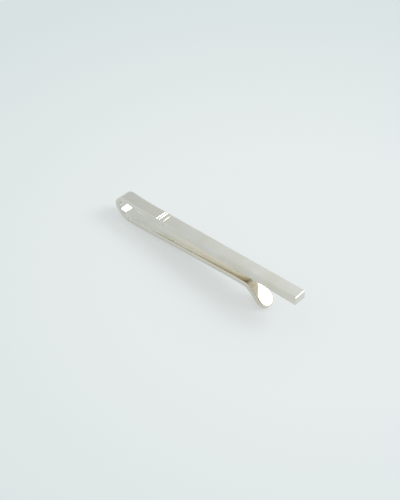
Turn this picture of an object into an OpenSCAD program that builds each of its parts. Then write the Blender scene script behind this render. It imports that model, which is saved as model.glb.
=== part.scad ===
// Slide-on tie clip bent from one strip of metal: a front bar, a closed bend and a spring leg.
// Units are millimetres and +Z is up. The clip lies front face up, as it rests on a table:
// on the bottom of its bend and on the tip of its thumb tab. The origin is the middle of its
// footprint at table height, +X points to the free end of the bar and Y runs across the strip.
// Profile points are [x, z] pairs: x = 0 is where the straight bar starts, z = 0 is the front face.

/* [Overall] */
// Length of the clip, from the back of the bend to the free end of the bar
clip_length = 55; // [42:0.5:75]
// Width of the strip
strip_width = 3.4; // [2.6:0.1:6]
// Thickness of the strip round the bend
strip_thickness = 1.2; // [0.8:0.05:1.3]
// Radius of the broken long edges
edge_round = 0.18; // [0.1:0.01:0.3]

/* [Front bar] */
// Thickness of the bar at its free end
bar_end_thickness = 2.2; // [1.3:0.05:2.8]
// Radius of the slight hollow between bar and bend
shoulder_radius = 60; // [40:1:90]
// Angle that the hollow turns through
shoulder_turn = 6.4; // [4:0.1:8]
// Width of the polished bevel across the front of the free end
end_bevel = 0.22; // [0.15:0.01:0.5]

/* [Cut grooves] */
// Distance from the start of the straight bar to the first groove
groove_setback = 3.45; // [1:0.05:12]
// Distance from the first groove to the last one
groove_span = 2; // [1.8:0.05:3]
// Radius of the wheel-cut bottom of the widest groove
groove_radius = 0.4; // [0.38:0.01:0.46]
// Depth of the deepest groove at the far edge of the bar
groove_depth = 0.17; // [0.12:0.01:0.25]

/* [Bend] */
// Outer radius of the upper part of the bend
upper_radius = 3.3; // [2.6:0.1:4.5]
// Angle that the upper part turns through
upper_turn = 78; // [65:1:90]
// Outer radius of the tightest part of the bend
crown_radius = 1.9; // [1.6:0.05:3]
// Angle that the tightest part turns through
crown_turn = 46; // [30:1:60]
// Outer radius of the lower part of the bend
lower_radius = 5.2; // [4.4:0.1:6.5]

/* [Spring leg] */
// Distance from the pinch crest to the free end of the bar
crest_setback = 14.1; // [11:0.1:18]
// Clear gap between the crest and the back of the bar when nothing is clipped
pinch_gap = 1.75; // [1:0.05:2.5]
// Thickness of the leg at the crest, and of the thumb tab
leg_end_thickness = 1.35; // [1:0.05:1.6]
// Radius under the crest where the strip turns down
crest_radius = 0.5; // [0.3:0.05:1]

/* [Thumb tab] */
// Angle of the tab below the level of the bar
tab_slope = 38; // [28:1:50]
// Length of the tab, from under the crest to its tip
tab_length = 6.55; // [6:0.05:9]
// Radius of the tab's round end
tab_end_radius = 2.15; // [1.9:0.01:2.6]

/* [Grip ridges] */
// Number of cuts that leave the ridges
ridge_cuts = 6; // [3:1:6]
// Distance from one cut to the next
ridge_pitch = 0.42; // [0.38:0.01:0.45]
// Depth of the cuts
ridge_depth = 0.1; // [0.05:0.01:0.12]

/* [Hidden] */
$fa = 3;
$fs = 0.2;
// how far a cutting shape runs past the face that it cuts
overrun = 1;
// radius of the tool that cuts the ridges
ridge_tool_radius = 0.2;
// flat run between the last cut and the place where the tab starts to widen
ridge_margin = 0.3;
// place of each groove as a share of the distance from the first to the last
groove_place_shares = [0, 0.34, 1];
// radius of each groove as a share of the widest one
groove_radius_shares = [0.72, 0.72, 1];
// depth of each groove as a share of the deepest one
groove_depth_shares = [1, 0.85, 0.52];
// distance in which each groove would run out as a share of the strip's width, from the far edge
groove_run_shares = [2.4, 2, 6];

// direction of a heading in the profile, and the direction to its left
function heading(a) = [cos(a), sin(a)];
function left_of(a) = [-sin(a), cos(a)];

// headings of the outer surface where the regions of the bend meet, going from bar to leg
into_upper = 180 - shoulder_turn;
into_crown = into_upper + upper_turn;
into_lower = into_crown + crown_turn;

// centre of each arc and the point on the outer surface where it starts
shoulder_centre = [0, shoulder_radius];
upper_point = shoulder_centre + shoulder_radius * left_of(into_upper);
upper_centre = upper_point + upper_radius * left_of(into_upper);
crown_point = upper_centre - upper_radius * left_of(into_crown);
crown_centre = crown_point + crown_radius * left_of(into_crown);
lower_point = crown_centre - crown_radius * left_of(into_lower);
lower_centre = lower_point + lower_radius * left_of(into_lower);

// straight part of the bar, and how thick it is above the crest
bend_reach = crown_radius - crown_centre.x;
bar_run = clip_length - bend_reach;
crest_x = bar_run - crest_setback;
bar_over_crest = strip_thickness + (bar_end_thickness - strip_thickness) * crest_x / bar_run;

// the leg leaves the bend as a tangent and ends below the crest at the wanted gap
crest_point = [crest_x, -bar_over_crest - pinch_gap - leg_end_thickness];
crest_offset = crest_point - lower_centre;
leg_rise = atan2(crest_offset.y, crest_offset.x) + asin(lower_radius / norm(crest_offset));
leg_run = sqrt(norm(crest_offset) ^ 2 - lower_radius ^ 2);
leg_point = lower_centre - lower_radius * left_of(leg_rise);
lower_turn = 360 + leg_rise - into_lower;

// the crest turns the strip down into the tab
crest_centre = crest_point - crest_radius * left_of(leg_rise);
crest_turn = leg_rise + tab_slope;
crest_top_radius = crest_radius + leg_end_thickness;
tab_point = crest_centre + crest_radius * left_of(-tab_slope);

// the cuts start at the top of the crest and run on down the flat land
crest_path = crest_top_radius * crest_turn * PI / 180;
land_run = ridge_cuts * ridge_pitch + ridge_margin - crest_path;

// sides of the tab, straight lines that leave the land and touch the round end
tab_centre = tab_length - tab_end_radius;
side_reach = norm([tab_centre - land_run, strip_width / 2]);
side_angle = asin(tab_end_radius / side_reach) - atan2(strip_width / 2, tab_centre - land_run);
side_run = sqrt(side_reach ^ 2 - tab_end_radius ^ 2);
touch = [tab_centre - tab_end_radius * sin(side_angle), tab_end_radius * cos(side_angle)];

// tilt of the bar when the bottom of the bend and the tip of the tab both touch the table
tip_centre = tab_point + (tab_length - edge_round) * heading(-tab_slope)
    + edge_round * left_of(-tab_slope);
tip_offset = tip_centre - lower_centre;
rest_tilt = -atan2(tip_offset.y, tip_offset.x)
    - asin((lower_radius - edge_round) / norm(tip_offset));

// a profile point after the tilt, and where the tilted clip has to be moved
function tilted(p) = [
    p.x * cos(rest_tilt) - p.y * sin(rest_tilt),
    p.x * sin(rest_tilt) + p.y * cos(rest_tilt)
];
table_level = tilted(lower_centre).y - lower_radius;
back_x = tilted(crown_centre).x - crown_radius;
end_corner = [bar_run - edge_round, edge_round - bar_end_thickness];
front_x = tilted(end_corner).x + edge_round;

// Which sub-part to draw

// the stretch of the bar that takes cloth in front of it: straight, tapered, free at one end
module front_bar() {
    color("silver") on_table() difference() {
        mirror([0, 0, 1]) tapered_run(bar_run, strip_thickness, bar_end_thickness);
        translate([bar_run, 0, 0]) end_cuts();
        cut_grooves();
    }
}

// the hollow run that carries the bar into the bend
module bar_shoulder() {
    color("gainsboro") on_table()
        arc_run(shoulder_centre, shoulder_radius, into_upper + 90, shoulder_turn, strip_thickness);
}

// the first arc of the bend, wide enough for a folded edge of cloth
module bend_upper() {
    color("silver") on_table()
        arc_run(upper_centre, upper_radius - strip_thickness, into_upper - 90, upper_turn,
            strip_thickness);
}

// the tight arc at the very back
module bend_crown() {
    color("gainsboro") on_table()
        arc_run(crown_centre, crown_radius - strip_thickness, into_crown - 90, crown_turn,
            strip_thickness);
}

// the wide arc that brings the strip back under the bar
module bend_lower() {
    color("silver") on_table()
        arc_run(lower_centre, lower_radius - strip_thickness, into_lower - 90, lower_turn,
            strip_thickness);
}

// the straight leg that springs against the cloth, thicker towards the crest
module spring_leg() {
    color("gainsboro") on_table()
        translate([leg_point.x, 0, leg_point.y])
            rotate([0, -leg_rise, 0])
                tapered_run(leg_run, strip_thickness, leg_end_thickness);
}

// the crest that pinches the cloth against the bar
module pinch_crest() {
    color("silver") on_table() difference() {
        arc_run(crest_centre, crest_radius, 90 - tab_slope, crest_turn, leg_end_thickness);
        ridge_row();
    }
}

// the flat land after the crest, where the fine cross ridges run on
module grip_land() {
    color("gainsboro") on_table() difference() {
        at_tab() tapered_run(land_run, leg_end_thickness, leg_end_thickness);
        ridge_row();
    }
}

// the part of the turned-out tab that widens towards its end
module tab_neck() {
    color("silver") on_table() at_tab() difference() {
        linear_extrude(height = leg_end_thickness)
            polygon([
                [land_run, -strip_width / 2],
                [touch.x, -touch.y],
                [touch.x, touch.y],
                [land_run, strip_width / 2]
            ]);
        for (face = [0, 1], side = [0, 1])
            translate([0, 0, face * leg_end_thickness])
                mirror([0, 0, 1 - face])
                    mirror([0, side, 0])
                        tab_side_cut();
    }
}

// the round end of the tab, which lifts the leg when cloth is pushed in
module tab_end() {
    color("gainsboro") on_table() at_tab() difference() {
        translate([tab_centre, 0, 0])
            rotate_extrude()
                round_end_section();
        translate([touch.x - 2 * tab_length, -tab_length, -overrun])
            cube([2 * tab_length, 2 * tab_length, leg_end_thickness + 2 * overrun]);
    }
}

// moves a child from the profile's frame to its place on the table
module on_table() {
    translate([-(back_x + front_x) / 2, 0, -table_level])
        rotate([0, -rest_tilt, 0])
            children();
}

// moves a child to the start of the tab: x runs down the tab and z = 0 is its outer face
module at_tab() {
    translate([tab_point.x, 0, tab_point.y])
        rotate([0, tab_slope, 0])
            children();
}

// moves a child onto the inner face, a path length beyond the start of the crest
module on_crest_path(length) {
    if (length < crest_path)
        translate([0, 0, -crest_radius])
            rotate([0, (length - crest_path) / crest_top_radius * 180 / PI, 0])
                translate([0, 0, crest_top_radius])
                    children();
    else
        translate([length - crest_path, 0, leg_end_thickness])
            children();
}

// cross-section of the strip: thickness along x from zero, width along y about zero
module strip_section(thick) {
    translate([edge_round, -strip_width / 2])
        square([thick - 2 * edge_round, strip_width]);
    translate([0, edge_round - strip_width / 2])
        square([thick, strip_width - 2 * edge_round]);
    for (x = [edge_round, thick - edge_round], side = [-1, 1])
        translate([x, side * (strip_width / 2 - edge_round)])
            circle(r = edge_round);
}

// a bent stretch of the strip about an axis across it
module arc_run(centre, inner_radius, from_angle, turn, thick) {
    translate([centre.x, 0, centre.y])
        rotate([90, 0, 0])
            rotate([0, 0, from_angle])
                rotate_extrude(angle = turn)
                    translate([inner_radius, 0])
                        strip_section(thick);
}

// a straight stretch along x: one face on z = 0, the other at the given thickness
module tapered_run(run, thick_from, thick_to) {
    slope = atan2(thick_to - thick_from, run);
    difference() {
        rotate([90, 0, 0])
            linear_extrude(height = strip_width, center = true)
                polygon([[0, 0], [run, 0], [run, thick_to], [0, thick_from]]);
        for (side = [0, 1])
            mirror([0, side, 0])
                translate([0, strip_width / 2, 0]) {
                    mirror([0, 0, 1]) edge_cut(-overrun, run + overrun);
                    translate([0, 0, thick_from])
                        rotate([0, -slope, 0])
                            edge_cut(-overrun, run + overrun);
                }
    }
}

// what lies outside a rounded corner, for a body that fills -x and -y
module corner_waste() {
    difference() {
        translate([-edge_round, -edge_round])
            square(edge_round + overrun);
        translate([-edge_round, -edge_round])
            circle(r = edge_round);
    }
}

// cutter for an edge along x, for a body that fills -y and -z
module edge_cut(from, to) {
    translate([from, 0, 0])
        rotate([90, 0, 90])
            linear_extrude(height = to - from)
                corner_waste();
}

// cutters for the free end of the bar, whose front corner is the origin
module end_cuts() {
    rotate([90, 0, 0])
        linear_extrude(height = strip_width + overrun, center = true)
            polygon([
                [-end_bevel - overrun, overrun],
                [overrun, overrun],
                [overrun, -end_bevel - overrun]
            ]);
    translate([0, 0, -bar_end_thickness])
        mirror([0, 0, 1])
            rotate([90, 0, 0])
                linear_extrude(height = strip_width + overrun, center = true)
                    corner_waste();
    for (side = [0, 1])
        mirror([0, side, 0])
            translate([0, strip_width / 2, -bar_end_thickness - overrun])
                linear_extrude(height = bar_end_thickness + 2 * overrun)
                    corner_waste();
}

// cutters for three grooves across the front face, each deepest at the far edge
module cut_grooves() {
    for (k = [0 : len(groove_run_shares) - 1]) {
        run = groove_run_shares[k] * strip_width;
        fall = atan2(groove_depth_shares[k] * groove_depth, run);
        radius = groove_radius_shares[k] * groove_radius;
        place = groove_setback + groove_place_shares[k] * groove_span;
        translate([place, strip_width / 2 - run, 0])
            rotate([-90 - fall, 0, 0])
                translate([0, -radius, -overrun])
                    cylinder(h = run + 2 * overrun, r = radius);
    }
}

// cutter for one cut between two ridges
module ridge_cut() {
    translate([0, 0, ridge_tool_radius - ridge_depth])
        rotate([90, 0, 0])
            cylinder(h = strip_width + 2 * overrun, r = ridge_tool_radius, center = true);
}

// all the cuts that leave the ridges
module ridge_row() {
    for (k = [1 : ridge_cuts])
        at_tab() on_crest_path(k * ridge_pitch) ridge_cut();
}

// cutter for a long edge of the tab's widening part, for a body below z = 0
module tab_side_cut() {
    translate([land_run, strip_width / 2, 0])
        rotate([0, 0, side_angle])
            edge_cut(-overrun, side_run + overrun);
}

// section of the tab's round end from its centre outwards, thickness along y
module round_end_section() {
    square([tab_end_radius - edge_round, leg_end_thickness]);
    translate([0, edge_round])
        square([tab_end_radius, leg_end_thickness - 2 * edge_round]);
    for (y = [edge_round, leg_end_thickness - edge_round])
        translate([tab_end_radius - edge_round, y])
            circle(r = edge_round);
}

front_bar();
bar_shoulder();
bend_upper();
bend_crown();
bend_lower();
spring_leg();
pinch_crest();
grip_land();
tab_neck();
tab_end();
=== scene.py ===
# Tie clip bent from one strip of silver, lying on a pale table in soft window light.
# The dictionaries hold millimetres and degrees; what goes to Blender is metres.
import math
import bmesh
import bpy
import numpy as np
from mathutils import Matrix, Vector


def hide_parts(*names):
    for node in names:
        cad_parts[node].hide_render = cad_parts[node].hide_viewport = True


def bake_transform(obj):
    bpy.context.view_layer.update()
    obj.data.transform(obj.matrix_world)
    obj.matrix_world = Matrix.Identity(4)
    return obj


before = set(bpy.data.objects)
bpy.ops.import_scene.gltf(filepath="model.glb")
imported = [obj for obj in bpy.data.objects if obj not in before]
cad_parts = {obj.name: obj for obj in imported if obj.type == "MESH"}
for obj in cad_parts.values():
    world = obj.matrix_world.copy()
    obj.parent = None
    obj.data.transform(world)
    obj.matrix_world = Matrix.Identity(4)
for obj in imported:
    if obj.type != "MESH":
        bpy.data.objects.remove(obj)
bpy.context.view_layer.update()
millimetre = 0.001  # in metres


def linearColour(hexText):
    # sRGB to linear light: c/12.92 up to 0.04045, else ((c + 0.055) / 1.055) to the power 2.4
    shares = [int(hexText[i:i + 2], 16) / 255 for i in (1, 3, 5)]
    return [c / 12.92 if c <= 0.04045 else ((c + 0.055) / 1.055) ** 2.4 for c in shares] + [1]


def addNode(tree, kind, settings=None, inputs=None):
    # adds a node, sets its properties, then fills each input with a value or links a socket to it
    node = tree.nodes.new(kind)
    for name, value in (settings or {}).items():
        setattr(node, name, value)
    for name, value in (inputs or {}).items():
        if isinstance(value, bpy.types.NodeSocket):
            tree.links.new(value, node.inputs[name])
        else:
            node.inputs[name].default_value = value
    return node


def setRamp(node, stops):
    # places the stops of a colour ramp: (position, colour) pairs
    ramp = node.color_ramp
    while len(ramp.elements) < len(stops):
        ramp.elements.new(1)
    for element, (position, colour) in zip(ramp.elements, stops):
        element.position = position
        element.color = colour


def emptyTree(owner):
    # the node tree of a material or world, with nothing in it
    owner.use_nodes = True
    owner.node_tree.nodes.clear()
    return owner.node_tree


strip = {
    # sizes as in the part's source
    "length": 55.0, "width": 3.4, "thickness": 1.2, "edgeRound": 0.18,
    "barEnd": 2.2, "endBevel": 0.22,
    "shoulderRadius": 60.0, "shoulderTurn": 6.4,
    "upperRadius": 3.3, "upperTurn": 78.0, "crownRadius": 1.9, "crownTurn": 46.0,
    "lowerRadius": 5.2, "crestSetback": 14.1, "pinchGap": 1.75, "legEnd": 1.35,
    "crestRadius": 0.5, "tabSlope": 38.0, "tabLength": 6.55, "tabRadius": 2.15,
    # small forms that only the picture needs: the rounding of the bevel's edge, the lengths over
    # which a bend takes up its curve, how far the leg's inner face falls away at its near edge and
    # the tab's face round its rim, how far the crest is turned about the length, and how much
    # thicker the strip is on its underside where the bar ends
    "bevelEdge": 0.05, "softenBend": 0.9, "softenTab": 1.6,
    "crown": 0.16, "crownFade": 9.0, "crownEnd": 5.0,
    "rimFall": 0.1, "rimWidth": 0.6, "rimFrom": 3.0, "rimRun": 1.5,
    "twist": 10.0, "twistRun": 7.0, "untwistRun": 4.8,
    "heel": 0.1, "heelRun": 8.0,
    # cut marks across the bar, nearest the bend first. A cut is deepest at the far edge and would
    # run out after "runShares" widths of strip. In its zone of columns, from -1 to 1, the cut goes
    # as far as "cutShare". The last one is scraped: wider, shallower at the far edge, duller, and
    # hollowed about "hollowAt", where the part has a plain cut
    "grooves": {
        "setback": 3.45, "span": 2.0, "radius": 0.4, "depth": 0.17,
        "placeShares": [0, 0.34, 1], "radiusShares": [0.72, 0.72, 1.4],
        "depthShares": [1, 0.85, 0.42], "runShares": [2.4, 2, 6],
        "hollows": [0, 0, 0.1], "hollowAt": -0.2, "hollowHalf": 1.3, "dullShares": [0, 0, 1.8],
        "leastHalf": 0.02, "margin": 0.5, "cutShare": 0.5,
    },
    # cross ridges on the crest, cut 0.07 deep where the part has 0.1, so that they glint softly
    "ridges": {"cuts": 6, "pitch": 0.42, "depth": 0.07, "radius": 0.2, "margin": 0.3},
    # rows round the section and columns along the strip
    "counts": {
        "frontRows": 60, "backRows": 36, "sideRows": 4, "cornerSteps": 6, "endSteps": 7,
        "bevelSteps": 4, "bar": 44, "groove": 16, "land": 4, "barStart": 6, "shoulder": 34,
        "upper": 54, "crown": 30, "lower": 44, "leg": 60, "cut": 10, "ridge": 3, "neck": 26,
        "tip": 44,
    },
    # the paths' steps, the length over which the outline turns before it is averaged, the path's
    # spare end past the tab, the least gap before the tab's columns and past the averaged stretch,
    # the tab's first column, how far the even rows stand in from an edge (a share of half the
    # face), the cap's two rings, how near points are merged, and from which angle an edge is sharp
    "pathStep": 0.004, "outlineStep": 0.002, "cornerRun": 0.0001, "overrun": 1.0, "past": 0.01,
    "tabStart": 0.02, "rowInset": 0.025, "capShares": (0.97, 0.5),
    "mergeWithin": 0.00002, "sharpFrom": 32.0,
}
grooves, ridges, counts = strip["grooves"], strip["ridges"], strip["counts"]


def sine(a):
    return math.sin(math.radians(a))


def cosine(a):
    return math.cos(math.radians(a))


def leftOf(a):
    # the direction a quarter turn to the left of a heading: (-sin, cos)
    return np.array([-sine(a), cosine(a)])


def walk(origin, heading, runs, turns, soften, keepFrom, step):
    # a path of arcs: the heading grows by turn / run along each run and, before "keepFrom", is
    # averaged over the length "soften"; a point is the origin plus the sum of step * (cos, sin)
    ends = np.cumsum([0] + list(runs))
    s = np.arange(0, ends[-1] + step, step)
    headings = np.interp(s, ends, heading + np.cumsum([0] + list(turns)))
    half = int(soften / step / 2)
    padded = np.concatenate([np.full(half, headings[0]), headings,
                             np.full(half + 1, headings[-1])])
    total = np.concatenate([[0], np.cumsum(padded)])
    mean = (total[2 * half + 1:] - total[:-2 * half - 1])[:len(s)] / (2 * half + 1)
    headings = np.radians(np.where(s < keepFrom, mean, headings))
    middle = (headings[1:] + headings[:-1]) / 2
    x = origin[0] + np.concatenate([[0], np.cumsum(np.cos(middle) * step)])
    z = origin[1] + np.concatenate([[0], np.cumsum(np.sin(middle) * step)])
    return {"s": s, "x": x, "z": z, "heading": headings}


def stripLayout():
    # where the bend, the leg, the crest and the tab come, worked out as in the part's source: an
    # arc's centre is its start plus radius * left of heading, or less it where the strip turns
    # right, at the shoulder and the crest. The leg is tangent to the lower arc
    c = strip
    intoUpper = 180 - c["shoulderTurn"]
    intoCrown = intoUpper + c["upperTurn"]
    intoLower = intoCrown + c["crownTurn"]
    upper = np.array([0, c["shoulderRadius"]]) + c["shoulderRadius"] * leftOf(intoUpper)
    upperCentre = upper + c["upperRadius"] * leftOf(intoUpper)
    crown = upperCentre - c["upperRadius"] * leftOf(intoCrown)
    crownCentre = crown + c["crownRadius"] * leftOf(intoCrown)
    lower = crownCentre - c["crownRadius"] * leftOf(intoLower)
    lowerCentre = lower + c["lowerRadius"] * leftOf(intoLower)
    barRun = c["length"] - (c["crownRadius"] - crownCentre[0])
    crestX = barRun - c["crestSetback"]
    barOverCrest = c["thickness"] + (c["barEnd"] - c["thickness"]) * crestX / barRun
    crest = np.array([crestX, -barOverCrest - c["pinchGap"] - c["legEnd"]])
    away = crest - lowerCentre
    reach = math.hypot(*away)
    legRise = math.degrees(math.atan2(away[1], away[0]) + math.asin(c["lowerRadius"] / reach))
    legRun = math.sqrt(reach ** 2 - c["lowerRadius"] ** 2)
    lowerTurn = 360 + legRise - intoLower
    crestTurn = legRise + c["tabSlope"]
    crestCentre = crest - c["crestRadius"] * leftOf(legRise)
    landStart = crestCentre + c["crestRadius"] * leftOf(-c["tabSlope"])

    # the path's runs and turns, from the bar's free end
    arcs = [math.radians(turn) * c[name] for turn, name in (
        (c["shoulderTurn"], "shoulderRadius"), (c["upperTurn"], "upperRadius"),
        (c["crownTurn"], "crownRadius"), (lowerTurn, "lowerRadius"), (crestTurn, "crestRadius"))]
    runs = [barRun] + arcs[:4] + [legRun, arcs[4], c["tabLength"] + c["overrun"]]
    turns = [0, -c["shoulderTurn"], c["upperTurn"], c["crownTurn"], lowerTurn, 0, -crestTurn, 0]
    names = ("bar", "shoulder", "upper", "crown", "lower", "leg", "crest", "land")

    # the clip rests on its bend and on the tab's tip, and its middle is over the origin
    along = np.array([cosine(-c["tabSlope"]), sine(-c["tabSlope"])])
    r = c["edgeRound"]
    tipCentre = landStart + (c["tabLength"] - r) * along + r * leftOf(-c["tabSlope"])
    across = tipCentre - lowerCentre
    tilt = -math.atan2(across[1], across[0]) - math.asin(
        (c["lowerRadius"] - r) / math.hypot(*across))
    turn = np.array([[math.cos(tilt), -math.sin(tilt)], [math.sin(tilt), math.cos(tilt)]])
    back = (turn @ crownCentre)[0] - c["crownRadius"]
    front = (turn @ np.array([barRun - r, r - c["barEnd"]]))[0] + r
    shift = np.array([-(back + front) / 2, -((turn @ lowerCentre)[1] - c["lowerRadius"])])

    # the crest's inner face is longer than the path, which follows the outer one
    crestPath = (c["crestRadius"] + c["legEnd"]) * math.radians(crestTurn)
    return {
        "barRun": barRun, "legRun": legRun, "runs": runs, "turns": turns,
        "starts": dict(zip(names, np.cumsum([0] + runs))),
        "turn": turn, "shift": shift, "tilt": tilt, "crestPath": crestPath,
        "landRun": ridges["cuts"] * ridges["pitch"] + ridges["margin"] - crestPath,
    }


layout = stripLayout()
start = layout["starts"]
print("layout: leg %.3f mm, tilt %.4f degrees" % (layout["legRun"], math.degrees(layout["tilt"])))


def sectionRing():
    # once round the strip's section: a and b run over an inner rectangle (a through the thickness,
    # b across), and (p, q) is the outward normal, along which the edge's rounding is laid
    def spread(rows, low, inset):
        return np.concatenate([[low], np.linspace(low + inset, 1 - inset, rows + 1), [1]])

    inset = strip["rowInset"]
    front = spread(counts["frontRows"], -1, inset)
    back = spread(counts["backRows"], -1, inset)[::-1]
    side = spread(counts["sideRows"], 0, inset * 2)
    turn = np.radians(np.linspace(0, 90, counts["cornerSteps"] + 1)[1:-1])
    c, s, one = np.cos(turn), np.sin(turn), np.ones(len(turn))
    parts = [
        (front * 0, front, front * 0 - 1, front * 0), (one * 0, one, -c, s),
        (side, side * 0 + 1, side * 0, side * 0 + 1), (one, one, s, c),
        (back * 0 + 1, back, back * 0 + 1, back * 0), (one, -one, c, -s),
        (side[::-1], side * 0 - 1, side * 0, side * 0 - 1), (one * 0, -one, -s, -c),
    ]
    return [np.concatenate([part[i] for part in parts]) for i in range(4)]


def grooveZones():
    # station of each groove, and how far its zone reaches towards the bar's end and the bend
    places = grooves["setback"] + grooves["span"] * np.array(grooves["placeShares"])
    halves = np.diff(places) / 2
    nearer = np.append(halves, grooves["margin"])
    further = np.insert(halves, 0, grooves["margin"])
    return layout["barRun"] - places, nearer, further


def ridgeColumns():
    # columns over the ridges, measured along the inner face, as stations and as depths cut: a cut
    # is depth - radius + sqrt(radius^2 - gap^2) deep at the distance gap from its middle
    radius, depth = ridges["radius"], ridges["depth"]
    halfCut = math.sqrt(radius ** 2 - (radius - depth) ** 2)
    cuts = ridges["pitch"] * np.arange(1, ridges["cuts"] + 1)
    inner = [np.linspace(0, cuts[0] - halfCut, counts["ridge"] + 2)[:-1]]
    for j, cut in enumerate(cuts):
        inner.append(np.linspace(cut - halfCut, cut + halfCut, counts["cut"] + 1))
        if j + 1 < len(cuts):
            between = np.linspace(cut + halfCut, cuts[j + 1] - halfCut, counts["ridge"] + 1)
            inner.append(between[1:-1])
    inner = np.concatenate(inner)
    crestShare = strip["crestRadius"] / (strip["crestRadius"] + strip["legEnd"])
    stations = np.where(inner < layout["crestPath"], start["crest"] + inner * crestShare,
                        start["land"] + inner - layout["crestPath"])
    gap = np.abs(inner[:, None] - cuts[None, :]).min(1)
    return stations, np.maximum(
        0, depth - radius + np.sqrt(np.maximum(0, radius ** 2 - gap ** 2)))


def columnPlan():
    # the columns from the bar's bevel to the ridges: station, which groove and spot in its zone
    # (from -1 at the side of the bar's end to 1), and how deep the ridges' cuts are there
    centres, nearer, further = grooveZones()
    cutShare = grooves["cutShare"]
    inZone = np.concatenate([
        np.linspace(-1, -cutShare, counts["land"] + 1)[:-1],
        np.linspace(-cutShare, cutShare, counts["groove"] + 1)[:-1],
        np.linspace(cutShare, 1, counts["land"] + 1)[:-1]])
    names = ("shoulder", "upper", "crown", "lower", "leg", "crest")
    bend = [np.linspace(start[this], start[following], counts[this] + 1)[:-1]
            for this, following in zip(names, names[1:])]
    ridgeStations, ridgeDepths = ridgeColumns()
    toGrooves = np.linspace(strip["endBevel"], centres[-1] - nearer[-1], counts["bar"] + 1)[:-1]
    fromGrooves = np.linspace(centres[0] + further[0], layout["barRun"],
                              counts["barStart"] + 1)[:-1]
    stations = np.concatenate([toGrooves, np.repeat(centres[::-1], len(inZone)), fromGrooves,
                               *bend, ridgeStations])
    which, spot = np.full(len(stations), -1), np.zeros(len(stations))
    zones = slice(len(toGrooves), len(toGrooves) + len(centres) * len(inZone))
    which[zones] = np.repeat(np.arange(len(centres))[::-1], len(inZone))
    spot[zones] = np.tile(inZone, len(centres))
    ridgeDepth = np.zeros(len(stations))
    ridgeDepth[-len(ridgeDepths):] = ridgeDepths
    return stations, which, spot, ridgeDepth


def tabOutline():
    # half of the tab's outline in plan: straight from the land, then round the end; its headings
    # are averaged as the bend's are, so the widening starts without a corner
    r, half = strip["tabRadius"], strip["width"] / 2
    centre = strip["tabLength"] - r
    reach = math.hypot(centre - layout["landRun"], half)
    side = math.degrees(math.asin(r / reach) - math.atan2(half, centre - layout["landRun"]))
    sideRun = math.sqrt(reach ** 2 - r ** 2)
    before = strip["softenTab"] / 2
    runs = [before, strip["cornerRun"], sideRun, math.radians(90 + side) * r]
    path = walk((layout["landRun"] - before, half), 0, runs, [0, side, 0, -90 - side],
                strip["softenTab"], before + strip["softenTab"] / 2 + strip["past"],
                strip["outlineStep"])
    return path, before + sideRun, sum(runs)


def tabColumns():
    # the tab's columns follow its outline: station and half width of the inner rectangle are the
    # outline's point less the edge's rounding along the outline's normal
    outline, roundStart, outlineEnd = tabOutline()
    toTip = np.sin(np.linspace(0, math.pi / 2, counts["tip"] + 1))
    t = np.concatenate([np.linspace(strip["tabStart"], roundStart, counts["neck"] + 1)[:-1],
                        roundStart + (outlineEnd - roundStart) * toTip])
    heading = np.interp(t, outline["s"], outline["heading"])
    outX, outY = (np.interp(t, outline["s"], outline[n]) for n in ("x", "z"))
    normal = np.stack([-np.sin(heading), np.cos(heading)])
    station = start["land"] + outX - strip["edgeRound"] * normal[0]
    half = np.maximum(outY - strip["edgeRound"] * normal[1], 0)
    half[-1] = 0
    return station, half, normal


def endRings(p):
    # rings at the bar's end: stations radius * (1 - sin psi), each point drawn in by
    # radius * (1 - cos psi), then on over the bevel, whose own edge is only broken
    radius = strip["bevelEdge"] + (strip["edgeRound"] - strip["bevelEdge"]) * (
        1 - np.maximum(0, -p))
    psi = np.radians(np.linspace(90, 0, counts["endSteps"]))
    overBevel = np.linspace(0, 1, counts["bevelSteps"] + 2)[1:-1]
    stations = np.concatenate([np.outer(1 - np.sin(psi), radius),
                               radius + np.outer(overBevel, strip["endBevel"] - radius)])
    drawnIn = np.concatenate([np.outer(1 - np.cos(psi), radius),
                              np.zeros((len(overBevel), len(p)))])
    return stations, drawnIn, radius


def cutGrooves(s, y, which, spot):
    # each groove is a tilted cylinder. Its floor's depth grows in line with y from where it runs
    # out, plus hollow * (1 - away^2), and at the distance off from its middle the depth is
    # floor - radius + sqrt(radius^2 - off^2). Its columns are moved in s to follow its two edges,
    # so s changes. What comes back as dull is extra depth that only the material sees
    centres, nearer, further = grooveZones()
    cutShare = grooves["cutShare"]
    depth, dull = np.zeros_like(s), np.zeros_like(s)
    for k, centre in enumerate(centres):
        rows = which == k
        run = grooves["runShares"][k] * strip["width"]
        slope = grooves["depthShares"][k] * grooves["depth"] / run
        radius = grooves["radiusShares"][k] * grooves["radius"]
        floor = np.clip((y[rows] - (strip["width"] / 2 - run)) * slope, 0, radius)
        away = (y[rows] - grooves["hollowAt"]) / grooves["hollowHalf"]
        floor += grooves["hollows"][k] * np.maximum(0, 1 - away ** 2)
        reach = np.maximum(np.sqrt(2 * radius * floor - floor ** 2), grooves["leastHalf"])
        m = spot[rows][:, None]
        inCut = np.abs(m) <= cutShare
        zone = np.where(m < 0, nearer[k], further[k])
        pastCut = (np.abs(m) - cutShare) / (1 - cutShare)
        off = np.where(inCut, reach * m / cutShare,
                       np.sign(m) * (reach + (zone - reach) * pastCut))
        s[rows] = centre + off
        cut = floor - radius + np.sqrt(np.maximum(0, radius ** 2 - off ** 2))
        depth[rows] = np.where(inCut, np.maximum(0, cut), 0)
        dull[rows] = np.where(inCut, floor * grooves["dullShares"][k], 0)
    return depth, dull


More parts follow.
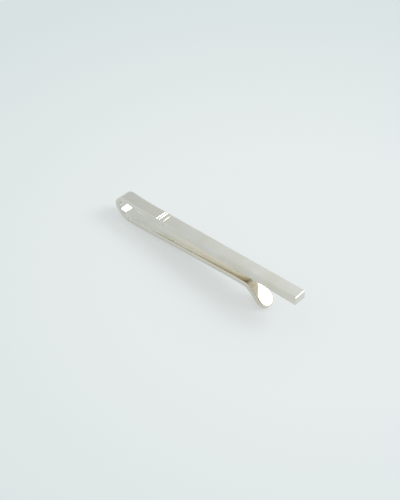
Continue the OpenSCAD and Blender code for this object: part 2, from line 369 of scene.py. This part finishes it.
def innerFall(s, y, outer):
    # how far the inner face falls away: along the leg crown * (-y / half width)^3, and on the tab
    # rimFall * (1 - distance to the rim / rimWidth)^2
    crown = np.interp(s, [start["leg"], start["leg"] + strip["crownFade"],
                          start["land"] - strip["crownEnd"], start["land"]],
                      [0, strip["crown"], strip["crown"], 0]) * np.clip(-y / outer, 0, 1) ** 3
    roundFrom = start["land"] + strip["tabLength"] - strip["tabRadius"]
    toRim = np.where(s > roundFrom, strip["tabRadius"] - np.hypot(s - roundFrom, y),
                     outer - np.abs(y))
    onTab = np.clip((s - start["land"] - strip["rimFrom"]) / strip["rimRun"], 0, 1)
    return crown + strip["rimFall"] * onTab * np.clip(1 - toRim / strip["rimWidth"], 0, 1) ** 2


def twistShare(s):
    # the twist grows as a square up to the crest and eases out along the tab, as
    # 1 - gone^2 * (3 - 2 * gone)
    grown = np.clip((s - start["crest"] + strip["twistRun"]) / strip["twistRun"], 0, 1) ** 2
    gone = np.clip((s - start["land"]) / strip["untwistRun"], 0, 1)
    return grown * (1 - gone ** 2 * (3 - 2 * gone))


def stripSurface():
    # one closed surface: a ring of the strip's section at every column. A vertex has a station s on
    # the path, a distance y across and a depth u from the outer face, and its profile point is
    # path(s) + u * leftOf(heading(s))
    path = walk((layout["barRun"], 0), 180, layout["runs"], layout["turns"], strip["softenBend"],
                start["leg"] + strip["softenBend"], strip["pathStep"])
    a, b, p, q = sectionRing()
    tabStations, tabHalf, tabNormal = tabColumns()
    plan = columnPlan()
    keep = plan[0] < tabStations[0] - strip["past"]
    stations, which, spot, ridgeDepth = (v[keep] for v in plan)
    endStations, drawnIn, endRadius = endRings(p)
    extra, before = len(endStations), len(endStations) + len(stations)
    around = (extra, len(tabStations))
    which = np.pad(which, around, constant_values=-1)
    spot, back = np.pad(spot, around), np.pad(ridgeDepth, around)[:, None]

    half, r = strip["width"] / 2, strip["edgeRound"]
    inner = np.concatenate([np.full(before, half - r), tabHalf])[:, None]
    normalX = np.concatenate([np.zeros(before), tabNormal[0]])[:, None]
    normalY = np.concatenate([np.ones(before), tabNormal[1]])[:, None]
    y = b * inner + r * q * normalY
    columns = np.concatenate([stations, tabStations])[:, None]
    s = np.concatenate([endStations, np.repeat(columns, len(a), 1)]) + r * np.abs(q) * normalX
    depth, dull = cutGrooves(s, y, which, spot)
    front = np.maximum(depth, np.maximum(0, strip["endBevel"] - s))
    inside = back + innerFall(s, y, inner + r * np.abs(normalY))

    # thickness along the strip, then the section squeezed between its lowered faces
    thick = np.interp(s, [0, start["shoulder"], start["leg"], start["crest"]],
                      [strip["barEnd"], strip["thickness"], strip["thickness"], strip["legEnd"]])
    fromHeel = (s - start["shoulder"]) / strip["heelRun"]
    thick = thick + strip["heel"] * np.clip(1 - fromHeel ** 2, 0, 1) ** 2
    u = r + a * (thick - 2 * r) + r * p
    u[:extra] -= drawnIn * p
    u = front + u * (1 - (front + inside) / thick)
    u += math.tan(math.radians(strip["twist"])) * twistShare(s) * y
    y[:extra] -= drawnIn * r / endRadius * q
    everywhere = np.ones_like(u)
    return path, s, y, u, {"cutDepth": depth + dull + back * everywhere,
                           "inward": np.maximum(p, 0) * everywhere,
                           "sideways": np.abs(q) * everywhere}


def restPoints(path, s, y, u):
    # profile point, then tilt and shift to the clip's place on the table, in metres
    x, z, heading = (np.interp(s, path["s"], path[n]) for n in ("x", "z", "heading"))
    px, pz = x - u * np.sin(heading), z + u * np.cos(heading)
    m, t = layout["turn"], layout["shift"]
    return np.stack([m[0, 0] * px + m[0, 1] * pz + t[0], y,
                     m[1, 0] * px + m[1, 1] * pz + t[1]], -1) * millimetre


def withCap(grid):
    # all rings of a grid, then the cap on its first ring: rings drawn in towards the middle, and
    # the middle itself, each point middle + (point - middle) * share
    middle = grid[0].mean(0)
    caps = [middle + (grid[0] - middle) * share for share in strip["capShares"]]
    return np.concatenate([grid.reshape(-1, grid.shape[2]), *caps, middle[None, :]])


def ringFaces(number, ring):
    # quads between neighbouring rings, quads of the cap's two rings, and triangles to its middle
    i, j = np.meshgrid(np.arange(number - 1), np.arange(ring), indexing="ij")
    n = (j + 1) % ring
    quads = np.stack([i * ring + j, i * ring + n, (i + 1) * ring + n, (i + 1) * ring + j], -1)
    j = np.arange(ring)
    n = (j + 1) % ring
    base = number * ring
    capQuads = np.concatenate([
        np.stack([n, j, base + j, base + n], -1),
        np.stack([base + n, base + j, base + ring + j, base + ring + n], -1)])
    fan = np.stack([base + ring + n, base + ring + j, np.full(ring, base + 2 * ring)], -1)
    return np.concatenate([quads.reshape(-1, 4), capQuads]).tolist() + fan.tolist()


def buildStrip():
    path, s, y, u, shares = stripSurface()
    points = restPoints(path, s, y, u)
    points[:, :, 2] -= points[:, :, 2].min()  # the clip stands on the table
    number, ring = s.shape
    mesh = bpy.data.meshes.new("bent_strip")
    mesh.from_pydata(withCap(points).tolist(), [], ringFaces(number, ring))

    # what the material needs: each vertex's place on the strip, depth of cut and facing
    place = mesh.attributes.new("stripPlace", "FLOAT_VECTOR", "POINT")
    place.data.foreach_set("vector", withCap(np.stack([s, y, u], -1)).astype(np.float32).ravel())
    onCap = np.zeros(len(strip["capShares"]) * ring + 1)
    for name, values in shares.items():
        share = mesh.attributes.new(name, "FLOAT", "POINT")
        share.data.foreach_set("value", np.append(values, onCap).astype(np.float32))

    shape = bmesh.new()
    shape.from_mesh(mesh)
    bmesh.ops.remove_doubles(shape, verts=shape.verts, dist=strip["mergeWithin"] * millimetre)
    bmesh.ops.recalc_face_normals(shape, faces=shape.faces)
    shape.to_mesh(mesh)
    openEdges = sum(1 for e in shape.edges if len(e.link_faces) != 2)
    volume = shape.calc_volume(signed=True)
    shape.free()
    mesh.polygons.foreach_set("use_smooth", np.ones(len(mesh.polygons), bool))
    mesh.set_sharp_from_angle(angle=math.radians(strip["sharpFrom"]))
    piece = bpy.data.objects.new("bent_strip", mesh)
    bpy.context.scene.collection.objects.link(piece)
    print("strip: %d vertices, %d faces, %d open edges, %.1f cubic millimetres"
          % (len(mesh.vertices), len(mesh.polygons), openEdges, volume / millimetre ** 3))
    return piece


clip = buildStrip()

# silver, bent cold and buffed by hand along its length: clear reflections that the lengthwise
# buffing lines blur a little across the strip, with cloudy patches, duller sides and dull cuts.
# The inner face turns yellower towards the crest, as where a buff hardly reaches. Real buffing
# lines are a few hundredths of a millimetre wide at most, too fine to show here, so they are drawn
# 0.12 mm wide. The two ranges are the noise's values between which shade and roughness grow
silver = {
    # "shade" is a darker, warmer colour: cloudy patches take it at random, and the cuts take it as
    # painted shade, more of it per millimetre of depth
    "tone": "#E6E4DE", "bendTone": "#ECEEEA", "legTone": "#EEE2CF", "shade": "#DDD6C4",
    "toneFrom": -3.0, "toneTo": 30.0,  # where the bend's tone turns into the leg's, past its start
    "roughness": 0.09, "cloudRoughness": 0.05, "sideRoughness": 0.2, "cutRoughness": 1.2,
    "lineWidth": 0.12, "lineLength": 9.0, "lineHeight": 0.0004, "lineDetail": 3, "lineGrain": 0.6,
    "cloudSize": 5.0, "cloudDetail": 2, "cloudGrain": 0.5, "cloudShade": 0.45, "cutPaintedShade": 0.8,
    "shadeRange": (0.35, 0.7), "roughRange": (0.3, 0.7),
}


def polishedSilver():
    material = bpy.data.materials.new("polished silver")
    tree = emptyTree(material)
    place = addNode(tree, "ShaderNodeAttribute", {"attribute_name": "stripPlace"}).outputs["Vector"]
    cutDepth, inward, sideways = (
        addNode(tree, "ShaderNodeAttribute", {"attribute_name": name}).outputs["Fac"]
        for name in ("cutDepth", "inward", "sideways"))

    # buffing lines along the strip, and cloudy patches
    wide, long = 1 / silver["lineWidth"], 1 / silver["lineLength"]
    stretched = addNode(tree, "ShaderNodeMapping", inputs={
        "Vector": place, "Scale": (long, wide, wide)})
    lines = addNode(tree, "ShaderNodeTexNoise", inputs={
        "Vector": stretched.outputs[0], "Scale": 1, "Detail": silver["lineDetail"],
        "Roughness": silver["lineGrain"]})
    cloud = addNode(tree, "ShaderNodeTexNoise", inputs={
        "Vector": place, "Scale": 1 / silver["cloudSize"], "Detail": silver["cloudDetail"],
        "Roughness": silver["cloudGrain"]})
    bump = addNode(tree, "ShaderNodeBump", inputs={
        "Height": lines.outputs["Fac"], "Distance": silver["lineHeight"] * millimetre,
        "Strength": 1})

    # colour: the strip's tone, the inner face's own, then the darker "shade" colour, at random in
    # cloudy patches and as painted shade in the cuts, the more the deeper they are
    along = addNode(tree, "ShaderNodeSeparateXYZ", inputs={"Vector": place}).outputs["X"]
    onLeg = addNode(tree, "ShaderNodeMapRange", {"interpolation_type": "SMOOTHSTEP"}, {
        "Value": along, "From Min": start["leg"] + silver["toneFrom"],
        "From Max": start["leg"] + silver["toneTo"]})
    inside = addNode(tree, "ShaderNodeMix", {"data_type": "RGBA"}, {
        0: onLeg.outputs[0], 6: linearColour(silver["bendTone"]),
        7: linearColour(silver["legTone"])})
    metal = addNode(tree, "ShaderNodeMix", {"data_type": "RGBA"}, {
        0: inward, 6: linearColour(silver["tone"]), 7: inside.outputs[2]})
    patches = addNode(tree, "ShaderNodeMapRange", inputs={
        "Value": cloud.outputs["Fac"], "From Min": silver["shadeRange"][0],
        "From Max": silver["shadeRange"][1], "To Min": 0, "To Max": silver["cloudShade"]})
    # painted shade in the cuts: their depth times a factor, added to the patches' share of the
    # shade colour
    shaded = addNode(tree, "ShaderNodeMath", {"operation": "MULTIPLY_ADD"}, {
        0: cutDepth, 1: silver["cutPaintedShade"], 2: patches.outputs[0]})
    colour = addNode(tree, "ShaderNodeMix", {"data_type": "RGBA"}, {
        0: shaded.outputs[0], 6: metal.outputs[2], 7: linearColour(silver["shade"])})

    # roughness: the face's, more on the sides, most in the cuts
    faceRough = addNode(tree, "ShaderNodeMapRange", inputs={
        "Value": cloud.outputs["Fac"], "From Min": silver["roughRange"][0],
        "From Max": silver["roughRange"][1], "To Min": silver["roughness"],
        "To Max": silver["roughness"] + silver["cloudRoughness"]})
    sideRough = addNode(tree, "ShaderNodeMath", {"operation": "MULTIPLY_ADD"}, {
        0: sideways, 1: silver["sideRoughness"], 2: faceRough.outputs[0]})
    rough = addNode(tree, "ShaderNodeMath", {"operation": "MULTIPLY_ADD"}, {
        0: cutDepth, 1: silver["cutRoughness"], 2: sideRough.outputs[0]})
    shader = addNode(tree, "ShaderNodeBsdfPrincipled", inputs={
        "Base Color": colour.outputs[2], "Metallic": 1, "Roughness": rough.outputs[0],
        "Normal": bump.outputs[0]})
    addNode(tree, "ShaderNodeOutputMaterial", inputs={"Surface": shader.outputs[0]})
    return material


clip.data.materials.append(polishedSilver())
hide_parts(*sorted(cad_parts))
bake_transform(clip)
print("clip dressed")

# white board with a matt coat: a plain pale ground with no shine, whose soft shadow stays on it.
# Its colour is a painted pool of light, lightest round the clip, darker towards its edge and even
# up to
# "evenShare" of "reach". "glow" is the share of the board's look that is its own colour unlit, for
# the camera and in reflections
table = {
    "half": 600, "middle": "#EBEEEE", "edge": "#DDE5E5", "centre": (13.5, 14.3), "reach": 120,
    "evenShare": 0.35, "roughness": 0.8, "glow": 0.5,
}


def mattBoard():
    material = bpy.data.materials.new("matt white board")
    tree = emptyTree(material)
    spot = addNode(tree, "ShaderNodeTexCoord").outputs["Object"]
    x, y = table["centre"]
    centred = addNode(tree, "ShaderNodeMapping", {"vector_type": "TEXTURE"}, {
        "Vector": spot, "Location": (x * millimetre, y * millimetre, 0),
        "Scale": (table["reach"] * millimetre,) * 3})
    away = addNode(tree, "ShaderNodeVectorMath", {"operation": "LENGTH"}, {0: centred.outputs[0]})
    ramp = addNode(tree, "ShaderNodeValToRGB", inputs={"Fac": away.outputs["Value"]})
    # painted pool of light: the lighter middle colour round the clip fades out to the darker edge
    # colour
    setRamp(ramp, [(table["evenShare"], linearColour(table["middle"])),
                   (1, linearColour(table["edge"]))])
    shader = addNode(tree, "ShaderNodeBsdfPrincipled", inputs={
        "Base Color": ramp.outputs["Color"], "Roughness": table["roughness"],
        "Specular IOR Level": 0.0})
    glow = addNode(tree, "ShaderNodeEmission", inputs={"Color": ramp.outputs["Color"]})
    seen = addNode(tree, "ShaderNodeLightPath").outputs
    direct = addNode(tree, "ShaderNodeMath", {"operation": "MAXIMUM"}, {
        0: seen["Is Camera Ray"], 1: seen["Is Glossy Ray"]})
    amount = addNode(tree, "ShaderNodeMath", {"operation": "MULTIPLY"}, {
        0: direct.outputs[0], 1: table["glow"]})
    both = addNode(tree, "ShaderNodeMixShader", inputs={
        0: amount.outputs[0], 1: shader.outputs[0], 2: glow.outputs[0]})
    addNode(tree, "ShaderNodeOutputMaterial", inputs={"Surface": both.outputs[0]})
    return material


def buildTable():
    h = table["half"] * millimetre
    mesh = bpy.data.meshes.new("table")
    mesh.from_pydata([(-h, -h, 0), (h, -h, 0), (h, h, 0), (-h, h, 0)], [], [(0, 1, 2, 3)])
    board = bpy.data.objects.new("table", mesh)
    bpy.context.scene.collection.objects.link(board)
    mesh.materials.append(mattBoard())
    print("table laid")


buildTable()

# one soft square window in a room that is lightest towards +Y, with a darker band before that, and
# dimmer on the side the picture is taken from. "window" and "darkSide" are directions, and "room"
# gives the level at each share of +Y in a direction
light = {
    "window": (0.545, 0.52, 0.66), "distance": 1400, "size": 620, "watts": 7.5,
    "room": [(-1, 0.78), (0.2, 0.78), (0.45, 0.68), (0.52, 0.62), (0.548, 0.625), (0.56, 0.69),
             (0.575, 0.79), (0.592, 0.89), (0.8, 0.93)],
    "darkSide": (0.45, -0.72, 0.53), "darkFrom": 0.65, "darkTo": 0.95, "dim": 0.55,
    "tint": (0.948, 1.0, 0.995),
}


def buildLight():
    world = bpy.data.worlds.new("room")
    bpy.context.scene.world = world
    tree = emptyTree(world)
    direction = addNode(tree, "ShaderNodeTexCoord").outputs["Generated"]
    across = addNode(tree, "ShaderNodeSeparateXYZ", inputs={"Vector": direction}).outputs["Y"]
    share = addNode(tree, "ShaderNodeMapRange", inputs={
        "Value": across, "From Min": -1, "From Max": 1})
    ramp = addNode(tree, "ShaderNodeValToRGB", inputs={"Fac": share.outputs[0]})
    top = max(level for place, level in light["room"])
    setRamp(ramp, [((place + 1) / 2, [level / top * c for c in light["tint"]] + [1])
                   for place, level in light["room"]])
    facing = addNode(tree, "ShaderNodeVectorMath", {"operation": "DOT_PRODUCT"}, {
        0: direction, 1: tuple(Vector(light["darkSide"]).normalized())})
    shade = addNode(tree, "ShaderNodeMapRange", {"interpolation_type": "SMOOTHSTEP"}, {
        "Value": facing.outputs["Value"], "From Min": light["darkFrom"],
        "From Max": light["darkTo"], "To Min": top, "To Max": top * light["dim"]})
    background = addNode(tree, "ShaderNodeBackground", inputs={
        "Color": ramp.outputs["Color"], "Strength": shade.outputs[0]})
    addNode(tree, "ShaderNodeOutputWorld", inputs={"Surface": background.outputs[0]})

    lamp = bpy.data.lights.new("window", "AREA")
    lamp.shape = "SQUARE"
    lamp.size = light["size"] * millimetre
    lamp.energy = light["watts"]
    lamp.color = light["tint"]
    lampObject = bpy.data.objects.new("window", lamp)
    bpy.context.scene.collection.objects.link(lampObject)
    toward = Vector(light["window"]).normalized()
    lampObject.location = toward * light["distance"] * millimetre
    lampObject.rotation_euler = toward.to_track_quat("Z", "Y").to_euler()
    print("room lit")


buildLight()

# the photograph's angle and distance. The point "aim" along the bar's face is seen at the pixel
# "aimPixel" of a picture that is "picture" pixels wide and high
view = {
    "azimuth": 41.507, "elevation": 40.664, "distance": 286.551, "aim": 17.2156,
    "aimPixel": (205.876, 240.496), "picture": (400, 500), "lens": 90.0, "sensor": 36.0,
    "nearest": 10,
}


def buildCamera():
    # back, right and up are worked out level with the bar's face and then tilted with the bar
    a, e = math.radians(view["azimuth"]), math.radians(view["elevation"])
    back = Vector((math.sin(a) * math.cos(e), -math.cos(a) * math.cos(e), math.sin(e)))
    right = Vector((math.cos(a), math.sin(a), 0))
    up = back.cross(right)
    width, height = view["picture"]
    perPixel = view["sensor"] / view["lens"] / max(width, height) * view["distance"]
    sideways = (view["aimPixel"][0] - width / 2) * perPixel
    upwards = (height / 2 - view["aimPixel"][1]) * perPixel
    place = (Vector((view["aim"], 0, 0)) + back * view["distance"] - right * sideways
             - up * upwards)
    tilted = Matrix.Rotation(-layout["tilt"], 4, "Y")
    shift = Vector((layout["shift"][0], 0, layout["shift"][1]))
    axes = Matrix((right, up, back)).transposed().to_4x4()
    camera = bpy.data.cameras.new("camera")
    camera.lens = view["lens"]
    camera.sensor_width = view["sensor"]
    camera.clip_start = view["nearest"] * millimetre
    cameraObject = bpy.data.objects.new("camera", camera)
    bpy.context.scene.collection.objects.link(cameraObject)
    cameraObject.matrix_world = (Matrix.Translation((tilted @ place + shift) * millimetre)
                                 @ tilted @ axes)
    bpy.context.scene.camera = cameraObject
    print("camera at", [round(v, 4) for v in cameraObject.matrix_world.translation])


buildCamera()
bpy.context.scene.view_settings.view_transform = "Standard"
